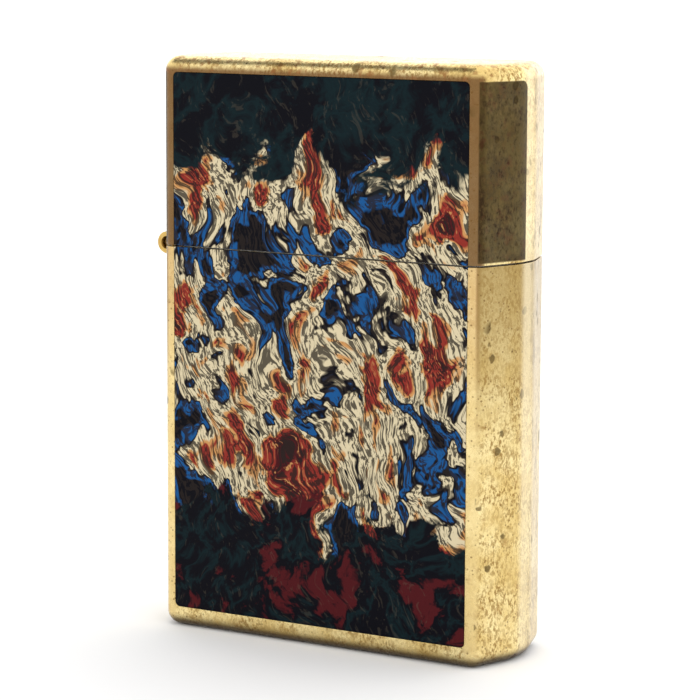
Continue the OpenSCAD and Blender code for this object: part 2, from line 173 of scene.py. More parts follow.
def turned(name, profile, place, axis="Z", steps=48):
    """Solid of revolution: profile holds (radius, height) pairs from one end to the other."""
    rings = []
    for radius, height in profile:
        rings.append([(*polar(radius, 2 * math.pi * k / steps), height) for k in range(steps)])
    made = loft(name, rings)
    turn = {"Z": Matrix.Identity(4), "Y": Matrix.Rotation(-math.pi / 2, 4, "X")}[axis]
    made.data.transform(Matrix.Translation(place) @ turn)
    return made


def apply_modifiers(obj):
    graph = bpy.context.evaluated_depsgraph_get()
    obj.data = bpy.data.meshes.new_from_object(obj.evaluated_get(graph))
    obj.modifiers.clear()


def combine(obj, operation, *others):
    for other in others:
        step = obj.modifiers.new(operation, "BOOLEAN")
        step.operation = operation
        step.solver = "EXACT"
        step.object = other
        apply_modifiers(obj)
        bpy.data.objects.remove(other)
    return obj


def cut(obj, *others):
    return combine(obj, "DIFFERENCE", *others)


def fuse(obj, *others):
    return combine(obj, "UNION", *others)


def mirrored(obj, matrix):
    """Carries a mesh through a matrix that mirrors it, and turns its faces outwards again."""
    obj.data.transform(matrix)
    bm = bmesh.new()
    bm.from_mesh(obj.data)
    bmesh.ops.reverse_faces(bm, faces=bm.faces)
    bm.to_mesh(obj.data)
    bm.free()
    return obj


def finished(obj, material, body, nodes, bevel, smooth=32):
    """Scales a piece to metres, softens its edges, and ties it to the frame."""
    obj.data.transform(Matrix.Scale(MM, 4))
    obj.data.materials.clear()
    obj.data.materials.append(material)
    obj.data.shade_smooth()
    if bevel:
        step = obj.modifiers.new("edges", "BEVEL")
        step.width = bevel * MM
        step.segments = 2
        step.limit_method = "ANGLE"
        step.angle_limit = math.radians(smooth)
        step.use_clamp_overlap = True
        obj.modifiers.new("normals", "WEIGHTED_NORMAL").keep_sharp = True
    else:
        obj.data.set_sharp_from_angle(angle=math.radians(smooth))
    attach(obj, body)
    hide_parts(*nodes)
    return obj


# ---------------------------------------------------------------- shader tools


def srgb(*values):
    """A colour as the eye reads it, from 0 to 255, in the linear values that shaders take."""
    shares = (v / 255 for v in values)
    return tuple(v / 12.92 if v <= 0.04045 else ((v + 0.055) / 1.055) ** 2.4 for v in shares)


class Shader:
    """A material with one Principled shader, and short calls for the nodes in front of it."""

    def __init__(self, name, **values):
        self.material = bpy.data.materials.new(name)
        self.material.use_nodes = True
        self.tree = self.material.node_tree
        self.surface = self.tree.nodes["Principled BSDF"]
        for socket, value in values.items():
            self.surface.inputs[socket.replace("_", " ")].default_value = value
        place = self.node("ShaderNodeTexCoord").outputs["Object"]
        self.place = self.scaled(place, (1 / MM,) * 3)

    def node(self, kind, **settings):
        made = self.tree.nodes.new(kind)
        for key, value in settings.items():
            setattr(made, key, value)
        return made

    def link(self, value, socket):
        if isinstance(value, bpy.types.NodeSocket):
            self.tree.links.new(value, socket)
        else:
            socket.default_value = value

    def scaled(self, vector, scale, rotation=(0, 0, 0)):
        made = self.node("ShaderNodeMapping")
        made.inputs["Scale"].default_value = scale
        made.inputs["Rotation"].default_value = rotation
        self.link(vector, made.inputs["Vector"])
        return made.outputs["Vector"]

    def noise(self, size, detail=4.0, rough=0.5, warp=0.0, stretch=(1, 1, 1), place=None, seed=0.0):
        """Noise from 0 to 1 whose features measure about size millimetres."""
        made = self.node("ShaderNodeTexNoise", noise_dimensions="4D")
        vector = place or self.place
        if stretch != (1, 1, 1):
            vector = self.scaled(vector, tuple(1 / s for s in stretch))
        self.link(vector, made.inputs["Vector"])
        values = {"Scale": 1 / size, "Detail": detail, "Roughness": rough, "Distortion": warp, "W": seed}
        for key, value in values.items():
            made.inputs[key].default_value = value
        return made.outputs["Fac"]

    def warped(self, place, size, reach, seed):
        """Coordinates pushed about by up to reach millimetres of noise."""
        made = self.node("ShaderNodeTexNoise", noise_dimensions="4D")
        self.link(place, made.inputs["Vector"])
        for key, value in (("Scale", 1 / size), ("Detail", 2.0), ("W", seed)):
            made.inputs[key].default_value = value
        centred = self.node("ShaderNodeVectorMath", operation="SUBTRACT")
        self.link(made.outputs["Color"], centred.inputs[0])
        centred.inputs[1].default_value = (0.5, 0.5, 0.5)
        pushed = self.node("ShaderNodeVectorMath", operation="MULTIPLY_ADD")
        self.link(centred.outputs["Vector"], pushed.inputs[0])
        pushed.inputs[1].default_value = (reach,) * 3
        self.link(place, pushed.inputs[2])
        return pushed.outputs["Vector"]

    def cells(self, size, place=None):
        """Distance to the nearest of random points that lie about size millimetres apart."""
        made = self.node("ShaderNodeTexVoronoi", feature="F1")
        self.link(place or self.place, made.inputs["Vector"])
        made.inputs["Scale"].default_value = 1 / size
        made.inputs["Randomness"].default_value = 1.0
        return made.outputs["Distance"]

    def math(self, operation, a, b=0.0):
        made = self.node("ShaderNodeMath", operation=operation)
        self.link(a, made.inputs[0])
        self.link(b, made.inputs[1])
        return made.outputs[0]

    def times(self, first, *others):
        for other in others:
            first = self.math("MULTIPLY", first, other)
        return first

    def ramp(self, value, low, high, start=0.0, end=1.0):
        """Value carried from low..high to start..end, smoothly and clamped."""
        made = self.node("ShaderNodeMapRange", interpolation_type="SMOOTHSTEP")
        entries = {"Value": value, "From Min": low, "From Max": high, "To Min": start, "To Max": end}
        for key, entry in entries.items():
            self.link(entry, made.inputs[key])
        return made.outputs["Result"]

    def colours(self, value, stops):
        made = self.node("ShaderNodeValToRGB")
        self.link(value, made.inputs["Fac"])
        band = made.color_ramp
        band.interpolation = "LINEAR"
        while len(band.elements) < len(stops):
            band.elements.new(1.0)
        for element, (position, colour) in zip(band.elements, stops):
            element.position = position
            element.color = (*colour, 1.0)
        return made.outputs["Color"]

    def mix(self, amount, a, b):
        made = self.node("ShaderNodeMix", data_type="RGBA", blend_type="MIX")
        self.link(amount, made.inputs["Factor"])
        for value, socket in ((a, made.inputs["A"]), (b, made.inputs["B"])):
            self.link((*value, 1.0) if isinstance(value, tuple) else value, socket)
        return made.outputs["Result"]

    def axis(self, name):
        made = self.node("ShaderNodeSeparateXYZ")
        self.link(self.place, made.inputs["Vector"])
        return made.outputs[name]

    def bump(self, height, depth):
        """Bump whose full height is depth millimetres."""
        made = self.node("ShaderNodeBump")
        made.inputs["Strength"].default_value = 1.0
        made.inputs["Distance"].default_value = depth * MM
        self.link(height, made.inputs["Height"])
        self.link(made.outputs["Normal"], self.surface.inputs["Normal"])

    def set(self, **links):
        for socket, value in links.items():
            self.link(value, self.surface.inputs[socket.replace("_", " ")])
        return self.material


# ---------------------------------------------------------------- materials


def aged_brass(name, lid):
    """Satin brass with freckles, brown spots, grey stains, and painted shade and highlights; the lid's
    front facets are dark brown.
    """
    s = Shader(name, Metallic=1.0)
    x, y, z = (s.axis(k) for k in "XYZ")
    across_x = s.math("ABSOLUTE", x)
    across_y = s.math("ABSOLUTE", y)
    clouds = s.noise(5.0, detail=6, rough=0.6)
    grain = s.noise(0.26, detail=3, rough=0.7, stretch=(1, 1, 1.6), seed=2.0)
    blots = s.noise(1.1, detail=5, rough=0.7, warp=0.6, seed=7.0)
    tone = s.mix(s.ramp(clouds, 0.38, 0.62), srgb(220, 192, 124), srgb(244, 224, 164))
    # The grain is coarse in patches and polished away along the front's long edges
    edge = s.times(s.ramp(across_x, FRONT_HALF - 0.3, FRONT_HALF + 0.1),
                   s.ramp(across_x, FRONT_HALF + 1.3, FRONT_HALF + 0.8))
    coarse = s.ramp(s.noise(2.6, detail=3, seed=16.0), 0.38, 0.62, 0.35, 0.9)
    coarse = s.times(coarse, s.math("SUBTRACT", 1.0, s.times(edge, 0.7)))
    tone = s.mix(s.times(s.ramp(grain, 0.44, 0.60), coarse), tone, srgb(146, 112, 56))
    tone = s.mix(s.times(s.ramp(blots, 0.54, 0.66), 0.5), tone, srgb(156, 116, 60))
    side = s.ramp(across_x, FRONT_HALF + 0.74, FRONT_HALF + 0.92)
    # Depth of the point behind the facet's plane, which tells the outside from the inside
    along = s.times(across_x, math.cos(FACET_TURN))
    out = s.math("ADD", along, s.times(across_y, math.sin(FACET_TURN)))
    plane = CASE_W / 2 * math.cos(FACET_TURN) + SIDE_FLAT / 2 * math.sin(FACET_TURN)
    side = s.times(side, s.ramp(out, plane - 0.75, plane - 0.6))
    # The front's border is browner on the lid, a painted reflection, and the body's facets are duller under
    # the seam, painted shade
    if lid:
        # Painted reflection: brown along the lid's front border, in place of a dark reflection in its
        # rounded edge
        painted_border_reflection = s.ramp(y, -CASE_D / 2 + 0.9, -CASE_D / 2 + 0.4)
        painted_border_reflection = s.times(painted_border_reflection, s.ramp(z, CASE_TOP - 0.7, CASE_TOP - 1.4))
        tone = s.mix(s.times(painted_border_reflection, 0.92), tone, srgb(108, 76, 46))
        smudge = s.ramp(s.noise(0.9, detail=3, seed=27.0), 0.55, 0.62)
        smudge = s.times(smudge, s.ramp(z, CASE_TOP - 2.0, CASE_TOP - 1.2))
        tone = s.mix(s.times(smudge, 0.55), tone, srgb(136, 88, 50))
    else:
        tone = s.mix(s.times(edge, 0.45), tone, srgb(228, 204, 146))
        # Painted shade: tan towards the seam, with a painted brown reflection line where the facet begins
        painted_seam_shade = s.ramp(z, BODY_TOP - 16.0, BODY_TOP - 2.0)
        tone = s.mix(s.times(edge, painted_seam_shade, 0.45), tone, srgb(178, 130, 76))
        painted_reflection_line = s.times(s.ramp(across_x, FRONT_HALF + 0.6, FRONT_HALF + 0.85),
                       s.ramp(across_x, FRONT_HALF + 1.15, FRONT_HALF + 0.95))
        tone = s.mix(s.times(painted_reflection_line, painted_seam_shade, 0.6), tone, srgb(120, 76, 36))
        # Painted shade: the side facets grow duller towards the seam
        dull = s.times(side, s.ramp(z, BODY_TOP - 22.0, BODY_TOP, 0.0, 0.8))
        tone = s.mix(dull, tone, srgb(152, 126, 74))
    # Fine freckles gather in patches
    patches = s.ramp(s.noise(5.0, detail=3, seed=11.0), 0.34, 0.54)
    dots = s.ramp(s.math("ADD", s.cells(0.52), s.times(grain, 0.35)), 0.42, 0.30)
    freckle = s.times(dots, patches)
    tone = s.mix(s.times(freckle, 0.65), tone, srgb(104, 74, 34))
    # Sparse brown spots, about a millimetre across
    wobble = s.times(s.noise(0.7, detail=3, seed=9.0), 0.16)
    spots = s.ramp(s.math("ADD", s.cells(3.8, place=s.scaled(s.place, (1, 1, 0.75))), wobble), 0.26, 0.20)
    spots = s.times(spots, s.ramp(s.noise(8.0, detail=2, seed=19.0), 0.46, 0.52))
    blobs = s.cells(2.7, place=s.warped(s.place, 0.6, 0.5, 18.0))
    blobs = s.times(s.ramp(s.math("ADD", blobs, wobble), 0.25, 0.20), side)
    spots = s.math("MAXIMUM", spots, blobs)
    tone = s.mix(s.times(spots, s.ramp(grain, 0.4, 0.6, 0.85, 0.6)), tone, srgb(82, 64, 30))
    # Grey stains run up and down the rear half of each side; the narrow flat between the facets is pale, a
    # painted highlight, and the side's rear half is paler, a painted reflection
    stain = s.ramp(s.noise(1.0, detail=5, rough=0.65, stretch=(1, 1, 3.2), seed=14.0), 0.50, 0.64)
    stain = s.times(s.times(stain, s.ramp(y, 0.2, 1.2)), s.times(side, 0.45))
    # Painted highlight on the narrow flat between the facets
    nose = s.times(side, s.ramp(across_y, SIDE_FLAT * 0.55, SIDE_FLAT * 0.15))
    tone = s.mix(s.times(nose, 0.5), tone, srgb(240, 226, 190))
    painted_rear_sheen = s.times(side, s.ramp(y, 0.6, 1.6), 0.40)
    tone = s.mix(painted_rear_sheen, tone, srgb(228, 216, 190))
    tone = s.mix(stain, tone, srgb(132, 116, 98))
    rough = s.ramp(grain, 0.35, 0.7, 0.26, 0.40)
    if lid:
        # The lid's dark brown facets end near the side's middle and under the top edge, with a round corner
        # between
        corner = 0.8
        over = s.math("MAXIMUM", s.math("SUBTRACT", y, -SIDE_FLAT * 0.22 - corner), 0.0)
        above = s.math("MAXIMUM", s.math("SUBTRACT", z, CASE_TOP - EDGE_R * 1.05 - corner), 0.0)
        reach = s.math("SQRT", s.math("ADD", s.times(over, over), s.times(above, above)))
        above_seam = s.times(side, s.ramp(z, LID_FOOT + 0.1, LID_FOOT + 0.3))
        area = s.times(s.ramp(reach, corner + 0.07, corner - 0.07), above_seam)
        dark_lid_facets = s.times(area, s.ramp(grain, 0.3, 0.6, 1.0, 0.9))
        drift = s.ramp(s.noise(2.0, detail=5, rough=0.7, seed=21.0), 0.38, 0.62)
        brown = s.mix(drift, srgb(46, 34, 22), srgb(70, 58, 32))
        rust = s.ramp(s.noise(1.2, detail=4, rough=0.7, seed=23.0), 0.54, 0.66)
        brown = s.mix(s.times(rust, 0.6), brown, srgb(68, 34, 24))
        brown = s.mix(s.times(s.ramp(grain, 0.5, 0.66), 0.5), brown, srgb(96, 80, 48))
        tone = s.mix(dark_lid_facets, tone, brown)
        rough = s.math("ADD", rough, s.times(dark_lid_facets, 0.14))
    # Painted shade where the foot turns under, its edge broken by the grain
    painted_foot_shade = s.ramp(s.math("ADD", z, s.times(grain, 0.5)), 1.65, 0.75)
    tone = s.mix(s.times(painted_foot_shade, 0.85), tone, srgb(62, 42, 24))
    rough = s.math("ADD", rough, s.times(spots, 0.2))
    height = s.math("ADD", grain, s.times(s.noise(1.4, detail=3, seed=3.0), 1.5))
    s.bump(s.math("SUBTRACT", height, s.times(spots, 0.8)), 0.02)
    return s.set(Base_Color=tone, Roughness=rough)


def marbled_print():
    """Generic marbled lacquer: fine combed strands of cream, blue, red and ochre between dark clouds."""
    s = Shader("front_print", Metallic=0.0, Specular_IOR_Level=0.05)
    navy, teal, blue = srgb(8, 8, 15), srgb(13, 30, 34), srgb(24, 78, 132)
    maroon, red, ochre, cream = srgb(72, 20, 24), srgb(132, 44, 36), srgb(190, 138, 84), srgb(204, 190, 156)
    tilted = s.scaled(s.place, (1, 1, 1), rotation=(0, math.radians(24), 0))
    broad = s.warped(tilted, 9.0, 10.0, 33.0)
    fine = s.warped(broad, 2.4, 1.5, 38.0)
    z = s.axis("Z")
    # Dark clouds of maroon and teal, streaked by paler strands
    clouds = s.noise(4.5, detail=5, rough=0.6, place=fine, seed=43.0)
    stops = [(0.0, navy), (0.41, navy), (0.46, teal), (0.50, navy), (0.54, navy), (0.58, maroon)]
    stops += [(0.66, maroon), (0.70, navy), (1.0, maroon)]
    dark = s.colours(clouds, stops)
    # The top has no maroon, so that no shape stands out from the dark there
    calm = s.colours(clouds, [(0.0, navy), (0.42, navy), (0.50, teal), (0.58, navy), (1.0, navy)])
    dark = s.mix(s.ramp(z, 40.0, 44.0), dark, calm)
    strands = s.noise(0.4, detail=4, rough=0.6, place=fine, stretch=(1, 1, 9), seed=45.0)
    dark = s.mix(s.times(s.ramp(strands, 0.58, 0.64), 0.16), dark, srgb(96, 88, 74))
    # Bright bands in the middle, each combed into strands
    swirl = s.noise(4.0, detail=3, rough=0.5, place=fine, stretch=(1, 1, 1.7), seed=42.0)
    stops = [(0.0, navy), (0.38, navy), (0.40, blue), (0.43, blue), (0.44, navy), (0.455, navy)]
    stops += [(0.465, cream), (0.53, cream), (0.545, ochre), (0.56, ochre), (0.575, red), (0.64, red)]
    stops += [(0.66, maroon), (1.0, navy)]
    bright = s.colours(swirl, stops)
    combed = s.noise(0.25, detail=3, rough=0.6, place=fine, stretch=(1, 1, 14), seed=49.0)
    bright = s.mix(s.times(s.ramp(combed, 0.47, 0.54), 0.88), bright, srgb(34, 28, 26))
    gold = s.times(s.ramp(combed, 0.42, 0.38), s.ramp(swirl, 0.58, 0.64))
    bright = s.mix(s.times(gold, 0.8), bright, ochre)
    wander = s.times(s.noise(6.0, detail=5, rough=0.6, place=fine, seed=47.0), 26.0)
    height = s.math("ADD", z, wander)
    light = s.times(s.ramp(height, 25.5, 26.5), s.ramp(height, 60.0, 58.5))
    tone = s.mix(light, dark, bright)
    s.bump(s.noise(0.25, detail=2, seed=61.0), 0.004)
    return s.set(Base_Color=tone, Roughness=0.38)


def plain_metal(name, bright, dull, rough, depth=0.006, streaks=(1, 1, 1)):
    """Metal with soft clouds, fine marks and small darker specks."""
    s = Shader(name, Metallic=1.0)
    clouds = s.noise(4.0, detail=5, rough=0.6, seed=3.0)
    marks = s.noise(0.25, detail=4, rough=0.6, stretch=streaks, seed=8.0)
    specks = s.ramp(s.noise(0.5, detail=3, seed=12.0), 0.62, 0.70)
    tone = s.mix(s.ramp(clouds, 0.35, 0.65), bright, dull)
    tone = s.mix(s.times(s.ramp(marks, 0.45, 0.65), 0.3), tone, dull)
    tone = s.mix(s.times(specks, 0.35), tone, tuple(c * 0.35 for c in dull))
    s.bump(marks, depth)
    return s.set(Base_Color=tone, Roughness=s.ramp(marks, 0.3, 0.7, rough, rough + 0.14))


def fibres(name, light, dark, size):
    """Matted wool or cotton, in strands about size millimetres across."""
    s = Shader(name, Roughness=0.95, Sheen_Weight=0.3, Specular_IOR_Level=0.2)
    strands = s.noise(size, detail=5, rough=0.7, warp=1.2, seed=5.0)
    tone = s.mix(s.ramp(strands, 0.35, 0.65), dark, light)
    s.bump(strands, size * 0.4)
    return s.set(Base_Color=tone)


def wick_cotton(top):
    """Cream cotton, scorched towards its tip."""
    s = Shader("wick_cotton", Roughness=0.95, Sheen_Weight=0.2, Specular_IOR_Level=0.2)
    strands = s.noise(0.3, detail=4, rough=0.7, stretch=(1, 1, 3), seed=6.0)
    tone = s.mix(s.ramp(strands, 0.35, 0.65), srgb(176, 160, 128), srgb(226, 214, 186))
    height = s.math("ADD", s.axis("Z"), s.times(s.noise(0.8, detail=3, seed=4.0), 1.6))
    tone = s.mix(s.ramp(height, top - 2.6, top - 0.2), tone, srgb(40, 32, 26))
    s.bump(strands, 0.08)
    return s.set(Base_Color=tone)


# ---------------------------------------------------------------- pieces


def rounded_block(name, height):
    """Solid of the case's section from z = 0, with a rounded foot."""
    foot_steps = 12
    rings = []
    for k in range(foot_steps + 1):
        a = math.pi / 2 * k / foot_steps
        outline = section(EDGE_R * (1 - math.sin(a)))
        rings.append([(p.x, p.y, EDGE_R * (1 - math.cos(a))) for p in outline])
    rings.append([(x, y, height) for x, y, _ in rings[-1]])
    return loft(name, rings)


def flip(obj):
    """Mirrors a piece top to bottom, about half the case's height."""
    return mirrored(obj, Matrix.Translation((0, 0, CASE_TOP)) @ Matrix.Diagonal((1, 1, -1, 1)))


def plate(name, low, high, grow, round_foot):
    """Thin plate on the front, grown sideways and at its free end, whose two corners are round there."""
    steps = 10
    x, z0, z1 = high.x + grow, low.z, high.z

    def corner(side, z, start):
        centre = Vector((side * (x - PRINT_R), z))
        return [centre + polar(PRINT_R, start + math.pi / 2 * k / steps) for k in range(steps + 1)]

    if round_foot:
        z0 -= grow
        outline = corner(1, z0 + PRINT_R, -math.pi / 2)
        outline += [Vector((x, z1)), Vector((-x, z1))]
        outline += corner(-1, z0 + PRINT_R, math.pi)
    else:
        z1 += grow
        outline = [Vector((-x, z0)), Vector((x, z0))]
        outline += corner(1, z1 - PRINT_R, 0.0)
        outline += corner(-1, z1 - PRINT_R, math.pi / 2)
    made = prism(name, outline, 0.0, 1.0)
    thickness = high.y - low.y
    turn = Matrix(((1, 0, 0, 0), (0, 0, -thickness, high.y), (0, 1, 0, 0), (0, 0, 0, 1)))
    made.data.transform(turn)
    return made


def hinge_notch():
    return block("notch", (-CASE_W / 2 - 1, -HINGE_LEN / 2 - HINGE_PLAY, SEAM - NOTCH_H),
                 (HINGE_X + NOTCH_IN, HINGE_LEN / 2 + HINGE_PLAY, SEAM + NOTCH_H))


def cavity(z0, z1):
    return prism("cavity", section(WALL, 8), z0, z1)


def body_case(material):
    low, high = span("body_plate")
    made = rounded_block("body_case", BODY_TOP)
    low, high = low - Vector((0, 1, 0)), high + Vector((0, 0, 1))
    recess = plate("recess", low, high, PRINT_PLAY, round_foot=True)
    cut(made, cavity(WALL, BODY_TOP + 1), hinge_notch(), recess)
    return finished(made, material, "case", ["body_shell"], bevel=0.05)


def lid_case(material):
    low, high = span("lid_plate")
    made = flip(rounded_block("lid_case", CASE_TOP - LID_FOOT))
    low = low - Vector((0, 1, 1))
    recess = plate("recess", low, high, PRINT_PLAY, round_foot=False)
    cut(made, cavity(LID_FOOT - 1, CASE_TOP - WALL), hinge_notch(), recess)
    return finished(made, material, "lid", ["lid_shell"], bevel=0.05)


def wall_window(y, length, z0, z1, reach):
    """Block that picks a part out of the left wall's lining, length long and centred on y."""
    return block("window", (-CASE_W - reach, y - length / 2, z0), (-CASE_W / 2 + reach, y + length / 2, z1))


def knuckle(y, length, side):
    """One loop of the hinge barrel, and the web that joins it to its leaf below (-1) or above (1)."""
    r, edge, half = KNUCKLE_R, 0.06, length / 2
    profile = [(r - edge, -half), (r, -half + edge), (r, half - edge), (r - edge, half)]
    made = turned("knuckle", profile, (HINGE_X, y, SEAM), axis="Y", steps=64)
    low, high = sorted((SEAM + side * r, SEAM + side * (r - LEAF_T)))
    past_leaf = HINGE_X + 2.6
    web = block("web", (HINGE_X, y - half, low), (past_leaf, y + half, high))
    # The web ends a hair past the leaf's inner face
    cut(web, prism("inside", section(WALL + LEAF_T + HAIR, 8), low - 1, high + 1))
    return fuse(made, web)


def hinge_half(name, order, side, extra=()):
    """Leaf, webs and knuckles of one half of the hinge: side is -1 below the seam and 1 above it."""
    length = (HINGE_LEN - (KNUCKLES - 1) * KNUCKLE_GAP) / KNUCKLES
    low, high = span(name)
    edge = SEAM + side * (KNUCKLE_R + HINGE_PLAY)
    leaf_z = sorted((edge, low.z if side < 0 else high.z))
    # Each root laps the leaf, and stops inside its web and short of the web's ends: no two faces coincide
    root_lap, root_inset = 0.5, 0.03
    leaf_reach, root_reach = 2.6, 2.4
    root_z = sorted((edge + side * root_lap, SEAM + side * (KNUCKLE_R - LEAF_T / 2)))
    middles = [(i - (KNUCKLES - 1) / 2) * (length + KNUCKLE_GAP) for i in order]
    window = wall_window(0.0, HINGE_LEN, *leaf_z, leaf_reach)
    fuse(window, *(wall_window(y, length - 2 * root_inset, *root_z, root_reach) for y in middles))
    made = prism(name + "_plate", section(WALL, 8), low.z - 1, high.z + 1)
    cut(made, prism("inside", section(WALL + LEAF_T, 8), low.z - 2, high.z + 2))
    combine(made, "INTERSECT", window)
    fuse(made, *(knuckle(y, length, side) for y in middles), *extra)
    bore = [(PIN_R + BORE_PLAY, -HINGE_LEN), (PIN_R + BORE_PLAY, HINGE_LEN)]
    return cut(made, turned("bore", bore, (HINGE_X, 0, SEAM), axis="Y"))


def cam_lip():
    """Lip on the lid's leaf that works the cam. It starts inside the leaf, just above its foot."""
    half, reach = 1.6, 1.2
    x = -CASE_W / 2 + WALL
    z = SEAM + KNUCKLE_R + HINGE_PLAY + 2 * HAIR
    return block("lip", (x + HAIR, -half, z), (x + LEAF_T + reach, half, z + LEAF_T))


def hinge(brass, steel):
    body = hinge_half("body_hinge_leaf", (0, 2, 4), -1)
    finished(body, brass, "case", ["body_hinge_leaf"], bevel=0)
    lid = hinge_half("lid_hinge_leaf", (1, 3), 1, [cam_lip()])
    finished(lid, brass, "lid", ["lid_hinge_leaf"], bevel=0)
    half = span("hinge_pin")[1].y
    profile = [(0.20, -half), (0.42, -half + 0.04), (0.55, -half + 0.12), (PIN_R, -half + 0.26)]
    profile += [(r, -h) for r, h in profile[::-1]]
    pin = turned("pin", profile, (HINGE_X, 0, SEAM), axis="Y")
    finished(pin, steel, "case", ["hinge_pin"], bevel=0, smooth=50)


def shifted(points, dx):
    return [Vector((p.x + dx, p.y)) for p in points]


def insert(steel):
    """The fuel can's wall, which a slot opens on the left for the cam lip."""
    low, high = span("insert_can")
    shift, inset, wall = (low.x + high.x) / 2, CASE_W / 2 - high.x, 0.5
    can = prism("can", shifted(section(inset, 8, shift), shift), low.z, high.z)
    inside = prism("inside", shifted(section(inset + wall, 8, shift), shift), low.z - 1, high.z + 1)
    slot_half, slot_foot, slot_end = 1.75, 39.45, -16.56
    slot = block("slot", (-CASE_W, -slot_half, slot_foot), (slot_end, slot_half, high.z + 1))
    cut(can, inside, slot)
    finished(can, steel, "case", ["insert_can"], bevel=0.06)


def rounded_rectangle(x0, x1, half, radius, steps=10):
    points = []
    for sx, sy, turn in ((1, 1, 0), (-1, 1, 1), (-1, -1, 2), (1, -1, 3)):
        centre = Vector(((x1 - radius) if sx > 0 else (x0 + radius), sy * (half - radius)))
        points += [centre + polar(radius, math.pi / 2 * (turn + k / steps)) for k in range(steps + 1)]
    return points


def across(name, outline, y0, y1):
    """Prism along Y of an outline given as (x, z) points."""
    swap_y_and_z = Matrix(((1, 0, 0, 0), (0, 0, 1, 0), (0, 1, 0, 0), (0, 0, 0, 1)))
    return mirrored(prism(name, outline, y0, y1), swap_y_and_z)


def disc(x, z, radius, start=0.0, end=2 * math.pi, steps=32):
    """Points of a circle, or of an arc with both its ends."""
    full = end - start > 6.28
    turns = [start + (end - start) * k / steps for k in range(steps if full else steps + 1)]
    return [Vector((x, z)) + polar(radius, turn) for turn in turns]


def chimney(steel):
    """Windproof wall with air holes, a window towards the wheel, and two ears for the wheel's axle."""
    low, high = span("chimney")
    wheel = joints["wheel_spin"]["pos_m"]
    wheel_x, axle_z = wheel[0] / MM, wheel[2] / MM
    wall, right, corner = 0.5, 6.0, 2.0
    window_half, window_foot, window_top = 2.8, low.z + 1.5, axle_z + 4.5
    ear_r, ear_t, ear_in, bore_r = high.x - wheel_x, 0.5, 2.95, 0.93
    hole_r, pitch, first_row = 1.05, 3.6, low.z + 3.4
    made = prism("chimney_wall", rounded_rectangle(low.x, right, high.y, corner), low.z, high.z)
    inside = rounded_rectangle(low.x + wall, right - wall, high.y - wall, corner - wall)
    cut(made, prism("inside", inside, low.z - 1, high.z + 1))
    window = block("window", (right - 1, -window_half, window_foot), (right + 1, window_half, window_top))
    cut(made, window)
    middle = (low.x + right) / 2
    for row, count in enumerate((3, 2, 3)):
        for column in range(count):
            x = middle + (column - (count - 1) / 2) * pitch
            cut(made, across("hole", disc(x, first_row + row * pitch, hole_r), *THROUGH))
    start = right - wall / 2
    outline = [Vector((start, low.z)), Vector((high.x, low.z))]
    outline += disc(wheel_x, axle_z, ear_r, 0.0, math.radians(90), 16)
    outline += [Vector((start, window_top))]
    for side in (-1, 1):
        y0, y1 = sorted((side * ear_in, side * (ear_in + ear_t)))
        fuse(made, across("ear", outline, y0, y1))
    cut(made, across("bore", disc(wheel_x, axle_z, bore_r), *THROUGH))
    finished(made, steel, "case", ["chimney"], bevel=0.07)


def spark_wheel(steel):
    """Hardened wheel whose rim is cut with crossed slanting grooves."""
    low, high = span("flint_wheel")
    centre, rim, half = (low + high) / 2, (high.x - low.x) / 2, high.y
    around, across_rim, teeth, depth = 216, 28, 36, 0.30
    slope, steepness, edge_w, edge_depth = 0.9, 1.6, 0.28, 0.16
    hub = [(0.95, -half + 0.12), (1.9, -half + 0.12), (2.15, -half), (rim - 0.45, -half)]
    rings = [[(r, y)] * around for r, y in hub]
    for j in range(across_rim + 1):
        y = half * (2 * j / across_rim - 1)
        chamfer = edge_depth * max(0.0, (abs(y) - half + edge_w) / edge_w)
        ring = []
        for k in range(around):
            turn = k / around * teeth
            grooves = [abs((turn + slant * y * slope) % 1.0 * 2 - 1) for slant in (-1, 1)]
            ring.append((rim - chamfer - depth * (1 - min(1.0, steepness * min(grooves))), y))
        rings.append(ring)
    rings += [[(r, -y)] * around for r, y in hub[::-1]]
    vertices = []
    for ring in rings:
        for k, (r, y) in enumerate(ring):
            p = polar(r, 2 * math.pi * k / around)
            vertices.append((centre.x + p.x, y, centre.z + p.y))
    faces = []
    for i in range(len(rings)):
        j = (i + 1) % len(rings)
        for k in range(around):
            m = (k + 1) % around
            faces.append([j * around + k, j * around + m, i * around + m, i * around + k])
    made = mesh_object("spark_wheel", vertices, faces)
    finished(made, steel, "wheel", ["flint_wheel"], bevel=0, smooth=24)


def rivet(name, node, axis, material, shank, head):
    """Rivet whose domed heads lie at both ends of its CAD solid."""
    low, high = span(node)
    centre = (low + high) / 2
    half = high.y - centre.y if axis == "Y" else high.z - centre.z
    dome = [(head * 0.35, half), (head * 0.68, half - 0.05), (head * 0.90, half - 0.15)]
    dome += [(head, half - 0.30), (head, half - 0.4), (shank, half - 0.4)]
    profile = [(r, -h) for r, h in dome] + dome[::-1]
    made = turned(name, profile, centre, axis=axis)
    finished(made, material, "case", [node], bevel=0, smooth=40)


def cam(steel):
    """Lever with a round hub and a small round nose, and straight flanks between them."""
    low, high = span("cam")
    x, _, z = (v / MM for v in joints["cam_rock"]["pos_m"])
    r, nose, nose_z, bore_r = high.x - x, 0.9, 41.09, 0.75
    nose_at = Vector((low.x + nose, nose_z))
    along = nose_at - Vector((x, z))
    tilt = math.atan2(along.y, along.x)
    lean = math.acos((r - nose) / along.length)
    outline = disc(x, z, r, tilt + lean - 2 * math.pi, tilt - lean, 40)
    outline += disc(nose_at.x, nose_at.y, nose, tilt - lean, tilt + lean, 16)
    made = across("cam_lever", outline, low.y, high.y)
    cut(made, across("bore", disc(x, z, bore_r), *THROUGH))
    finished(made, steel, "cam", ["cam"], bevel=0.12)


